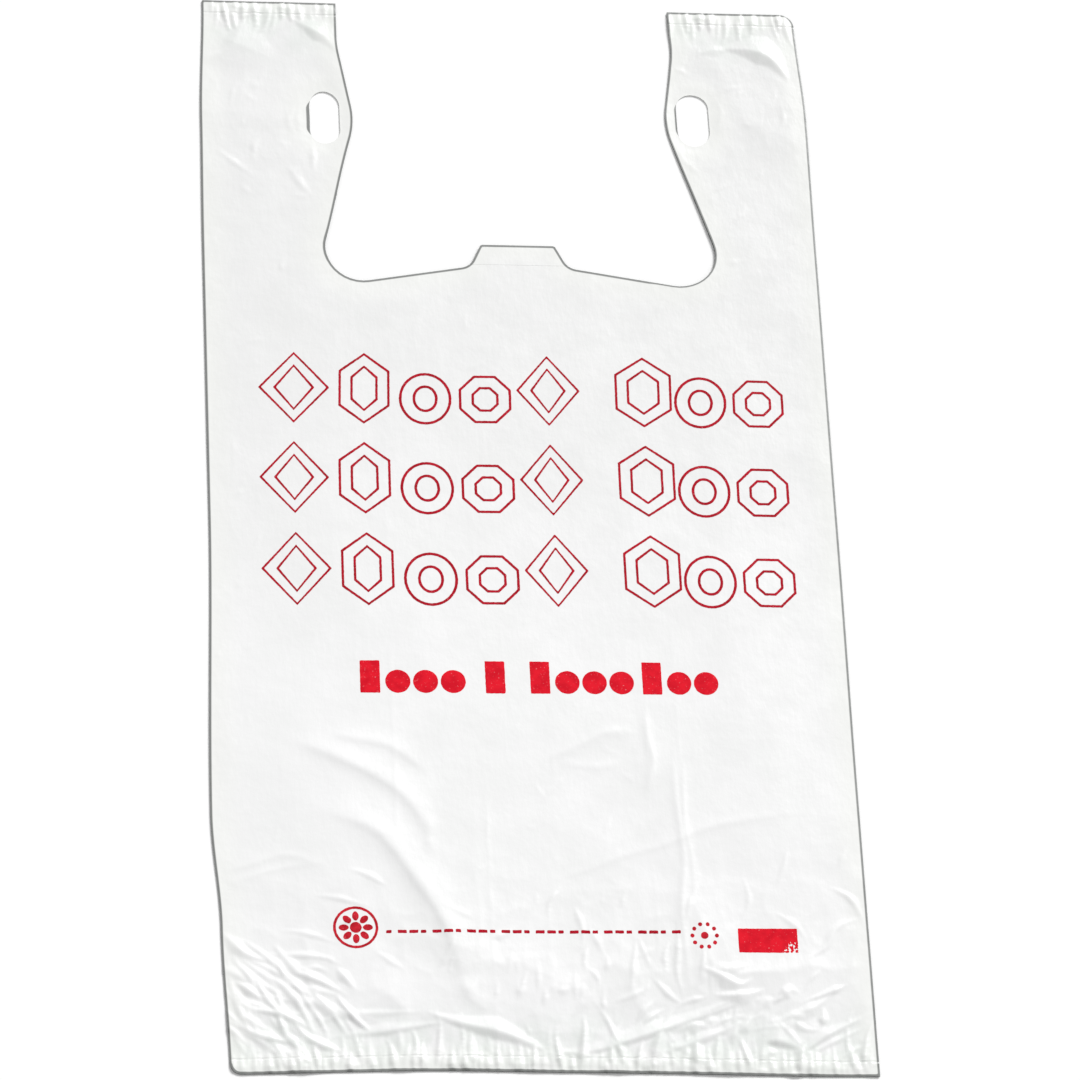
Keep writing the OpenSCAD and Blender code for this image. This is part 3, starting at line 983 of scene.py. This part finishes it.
def make_gussets():
    for side, sign in (("left", -1), ("right", 1)):
        xs = np.sort(sign * lines(CREASE_X, HALF_W, GUSSET_PITCH, 4.0, EDGE_BAND, HIDDEN_EDGE_PITCH))
        ys = lines(PANEL_Y, FOLD_Y, GUSSET_PITCH)
        for ply, height, body in (("front", gusset_front_z, "front"), ("back", gusset_back_z, "back")):
            name = f"{side}_gusset_{ply}_film"
            nodes = [f"{side}_gusset_{ply}_ply"] + ([f"{side}_gusset_crease"] if ply == "back" else [])
            piece = film(name, nodes, xs, ys, outline, [height])
            piece.data.materials.append(INNER_FILM)
            start, end = sign * CREASE_X * MM, sign * HALF_W * MM
            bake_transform(piece, "gussets", body, start=(start, 0, 0), end=(end, 0, 0))
            # like the panels, the gussets' films go over to the gussets' body towards the handles
            weights = piece.data.attributes["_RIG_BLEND"]
            w = np.zeros(len(piece.data.vertices), np.float32)
            weights.data.foreach_get("value", w)
            y = np.array([v.co.y for v in piece.data.vertices]) / MM
            w *= 1 - smooth((y - PERF_Y) / (BLEND_END_Y - PERF_Y))
            weights.data.foreach_set("value", w.astype(np.float32))


def make_handles():
    for side, sign in (("left", -1), ("right", 1)):
        body = f"{side}_handle"
        xs = handle_columns(sign)
        ys = lines(FOLD_Y, HANDLE_WELD_LOW_Y, 1.1, 0, 22, 0.7)
        for ply, heights, material in (
            ("front_film", [front_z], FILM),
            ("back_film", [back_z], FILM),
            ("inner_film", [gusset_back_z, gusset_front_z], INNER_FILM),
        ):
            node = f"{side}_handle_{'inner_plies' if ply == 'inner_film' else ply.replace('film', 'ply')}"
            piece = film(f"{side}_handle_{ply}", [node], xs, ys, outline, heights)
            piece.data.materials.append(material)
            start, end = (FOLD_Y + 0.5) * MM, (FOLD_Y + 9) * MM
            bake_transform(piece, "gussets", body, start=(0, start, 0), end=(0, end, 0))


def bead_top(low_y, high_y):
    """Top of a weld bead: the front ply, pressed in along the middle of the bead."""
    def height(x, y):
        middle = 1 - np.abs(y - (low_y + high_y) / 2) / (high_y - low_y) * 2
        press = np.clip(0.08 + 0.25 * lattice_noise(x, y * 0, 2.6, 92), 0, 0.2)
        return front_z(x, y) + FILM_T / 2 - press * smooth(middle)
    return height


def bead_under(x, y):
    return back_z(x, y) - FILM_T / 2


def make_welds():
    """Weld beads and the loose film beyond them. The pleats of the film beside a weld run on over both."""
    jobs = [("bottom", "back", PANEL_COLUMNS, WELD_LOW_Y, PANEL_Y, BOTTOM_Y, WELD_LOW_Y)]
    for side, sign in (("left", -1), ("right", 1)):
        jobs.append((f"{side}_handle", f"{side}_handle", handle_columns(sign),
                     HANDLE_WELD_LOW_Y, HANDLE_WELD_Y, HANDLE_WELD_Y, TOP_Y))
    for name, body, xs, weld_from, weld_to, skirt_from, skirt_to in jobs:
        weld = film(f"{name}_weld", [f"{name}_seal"], xs, lines(weld_from, weld_to, 0.375),
                    outline, [(bead_under, bead_top(weld_from, weld_to))])
        weld.data.materials.append(WELD)
        skirt = film(f"{name}_skirt_film", [f"{name}_skirt"], xs,
                     lines(skirt_from, skirt_to, 0.75), outline, [back_z, front_z])
        skirt.data.materials.append(FILM)
        for obj in (weld, skirt):
            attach(obj, body)


# ---- print ----

def ngon_distance(x, y, sides, w, h, turn):
    a = np.radians(turn) + 2 * np.pi * np.arange(sides) / sides
    return polygon_distance(np.stack([w / 2 * np.cos(a), h / 2 * np.sin(a)], 1), x, y)


def worn(d, x, y, amount):
    """Ragged edges and pinholes, as on a quick print."""
    d = d + 0.10 * lattice_noise(x, y, 1.3, 80)
    holes = lattice_noise(x, y, 1.7, 81) - (1.12 - amount)
    return np.maximum(d, holes * 1.5)


def ink_piece(name, material, x0, x1, y0, y1, distance, pitch=0.45, amount=0.1):
    """Ink on the front ply: everything within a box where distance is negative."""
    xs, ys = lines(x0, x1, pitch), lines(y0, y1, pitch)
    points, faces = cut_cells(xs, ys, lambda x, y: worn(distance(x, y), x, y, amount))
    z = front_z(points[:, 0], points[:, 1]) + FILM_T / 2
    obj = mesh_object(f"{name}_ink", [shell(points, faces, z - 0.02, z + INK_T)],
                      {"pattern": pattern_mark(points, 2)})
    obj.data.materials.append(material)
    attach(obj, "front")
    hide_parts(name)


STROKE = 1.3
BAND = 6.5
FIRST_ROW_Y = 45.5
ROW_STEP = 46.5
ROW_HEIGHT = 37
# The outlined shapes of a row: centre x, width, height, sides, turn in degrees.
ROW_SHAPES = [
    (-108, 31, 37, 4, 90), (-76, 28, 37, 6, 90), (-47, 25, 27, 40, 0), (-18.5, 27, 27, 8, 22.5),
    (11.5, 30, 37, 4, 90), (56.5, 31, 37, 6, 90), (83.5, 25, 27, 40, 0), (111.5, 27, 27, 8, 22.5),
]
# The line of marks below the rows: each group is a bar and then dots. Left end, marks in all.
BAR_GROUPS = [(-81, 4), (-24, 1), (-3.5, 4), (48.5, 3)]
BAR_Y = -83
BAR_HALF_W = 4.5
BAR_HALF_H = 8
BAR_STEP = 12.6
BAR_DOT_Y = -85.3
BAR_DOT_R = 5.7

ROSETTE = (-87.5, -204.8)
DOT_RING = (69.6, -208.6)
DASHES = 26
DASH_LEFT = -74
DASH_RUN = 134
DASH_Y = -206.85
DASH_HALF_H = 0.75
BLOCK = (98.7, -210.75)
BLOCK_HALF = (13.7, 5.65)
BLOCK_WORN_AT = (109.5, -214.5)
BLOCK_WORN_R = 3.5


def row_distance(base_y):
    """A row of shapes that stand on base_y, each drawn as two outlines, one inside the other."""
    def distance(x, y):
        best = np.full(np.shape(x), FAR)
        for cx, w, h, sides, turn in ROW_SHAPES:
            near = (np.abs(x - cx) < w / 2 + 1) & (np.abs(y - base_y - h / 2) < h / 2 + 1)
            px, py = x[near] - cx, y[near] - base_y - h / 2
            for inset in (0, 2 * BAND):
                outer = ngon_distance(px, py, sides, w - inset, h - inset, turn)
                inner = ngon_distance(px, py, sides, w - inset - 2 * STROKE, h - inset - 2 * STROKE, turn)
                best[near] = np.minimum(best[near], np.maximum(outer, -inner))
        return best
    return distance


def bar_distance(x, y):
    best = np.full(np.shape(x), FAR)
    for left, count in BAR_GROUPS:
        for i in range(count):
            cx = left + BAR_HALF_W + i * BAR_STEP
            if i == 0:
                d = np.maximum(np.abs(x - cx) - BAR_HALF_W, np.abs(y - BAR_Y) - BAR_HALF_H)
            else:
                d = np.hypot(x - cx, y - BAR_DOT_Y) - BAR_DOT_R
            best = np.minimum(best, d)
    return best


def rosette_distance(x, y):
    """A ring round a hub and eight petals."""
    dx, dy = x - ROSETTE[0], y - ROSETTE[1]
    r = np.hypot(dx, dy)
    best = np.minimum(np.abs(r - 9.4) - 0.6, r - 2.6)
    for i in range(8):
        a = math.radians(45 * i)
        u, v = dx * math.cos(a) + dy * math.sin(a), dy * math.cos(a) - dx * math.sin(a)
        best = np.minimum(best, (np.hypot((u - 5.4) / 2.2, v / 1.5) - 1) * 1.6)
    return best


def dash_distance(x, y):
    best = np.full(np.shape(x), FAR)
    for i in range(DASHES):
        length = 2.4 if i % 3 == 0 else 4
        x0 = DASH_LEFT + i * DASH_RUN / DASHES
        along = np.abs(x - x0 - length / 2) - length / 2
        best = np.minimum(best, np.maximum(along, np.abs(y - DASH_Y) - DASH_HALF_H))
    return best


def dot_ring_distance(x, y):
    """A dot with ten smaller ones round it."""
    dx, dy = x - DOT_RING[0], y - DOT_RING[1]
    best = np.hypot(dx, dy) - 1.7
    for i in range(10):
        a = math.radians(36 * i)
        best = np.minimum(best, np.hypot(dx - 5.6 * math.cos(a), dy - 5.6 * math.sin(a)) - 0.95)
    return best


def block_distance(x, y):
    """A solid block, with ink missing in specks near its lower right corner."""
    d = np.maximum(np.abs(x - BLOCK[0]) - BLOCK_HALF[0], np.abs(y - BLOCK[1]) - BLOCK_HALF[1])
    from_worn = np.hypot(x - BLOCK_WORN_AT[0], y - BLOCK_WORN_AT[1])
    corner = BLOCK_WORN_R - from_worn + 2.2 * lattice_noise(x, y, 1.6, 85)
    return np.maximum(d, np.minimum(corner, lattice_noise(x, y, 1.1, 86) - 0.15))


def make_print():
    for name, row in (("upper", 0), ("middle", 1), ("lower", 2)):
        base = FIRST_ROW_Y - ROW_STEP * row
        ink_piece(f"print_row_{name}", OUTLINE_INK, -126, 126, base - 1, base + ROW_HEIGHT + 1,
                  row_distance(base))
    ink_piece("print_bar_row", SOLID_INK, -83, 85, -92, -74, bar_distance)
    ink_piece("print_rosette", SMALL_INK, -98.5, -76.5, -216, -194, rosette_distance, 0.35)
    ink_piece("print_dash_line", OUTLINE_INK, -75, 61, -208.5, -205, dash_distance, 0.35)
    ink_piece("print_dot_ring", SMALL_INK, 62.5, 77, -216, -201, dot_ring_distance, 0.35)
    ink_piece("print_block", SOLID_INK, 84, 113.5, -217.5, -204, block_distance, 0.45, 0.16)


# ---- stage ----

def make_stage():
    """A white floor in white light, with one large soft sun from the upper right."""
    mesh = bpy.data.meshes.new("floor")
    mesh.from_pydata([(-6, -6, 0), (6, -6, 0), (6, 6, 0), (-6, 6, 0)], [], [(0, 1, 2, 3)])
    floor = bpy.data.objects.new("floor", mesh)
    bpy.context.scene.collection.objects.link(floor)
    n = Nodes("floor_white")
    n.put("Base Color", (0.96, 0.96, 0.96, 1))
    n.put("Roughness", 0.9)
    mesh.materials.append(n.material)

    world = bpy.data.worlds.new("studio")
    bpy.context.scene.world = world
    world.use_nodes = True
    background = world.node_tree.nodes["Background"]
    background.inputs["Color"].default_value = (1, 1, 1, 1)
    background.inputs["Strength"].default_value = 0.51

    sun = bpy.data.lights.new("key", "SUN")
    sun.energy = 3.0
    sun.angle = math.radians(22)
    obj = bpy.data.objects.new("key", sun)
    obj.rotation_euler = Vector((0.47, 0.67, 0.60)).to_track_quat("Z", "Y").to_euler()
    bpy.context.scene.collection.objects.link(obj)
    bpy.context.scene.view_settings.view_transform = "Standard"


def make_camera():
    """The camera stands at the bag's foot and a little to its left, and looks down at it."""
    camera = bpy.data.cameras.new("camera")
    camera.sensor_width = 36
    camera.lens = 166.7
    camera.clip_start, camera.clip_end = 0.1, 20
    obj = bpy.data.objects.new("camera", camera)
    look = Vector((0.14165, 0.41519, -0.89864)).normalized()
    right = Vector((0.98985, -0.04909, 0.13335)).normalized()
    up = right.cross(look).normalized()
    right = look.cross(up)
    turn = Matrix((right, up, -look)).transposed().to_4x4()
    obj.matrix_world = Matrix.Translation((-0.3245, -0.9777, 2.0891)) @ turn
    bpy.context.scene.collection.objects.link(obj)
    bpy.context.scene.camera = obj


make_camera()
make_stage()
make_panels()
make_tabs()
make_gussets()
make_handles()
make_welds()
make_print()
declare_sheets()
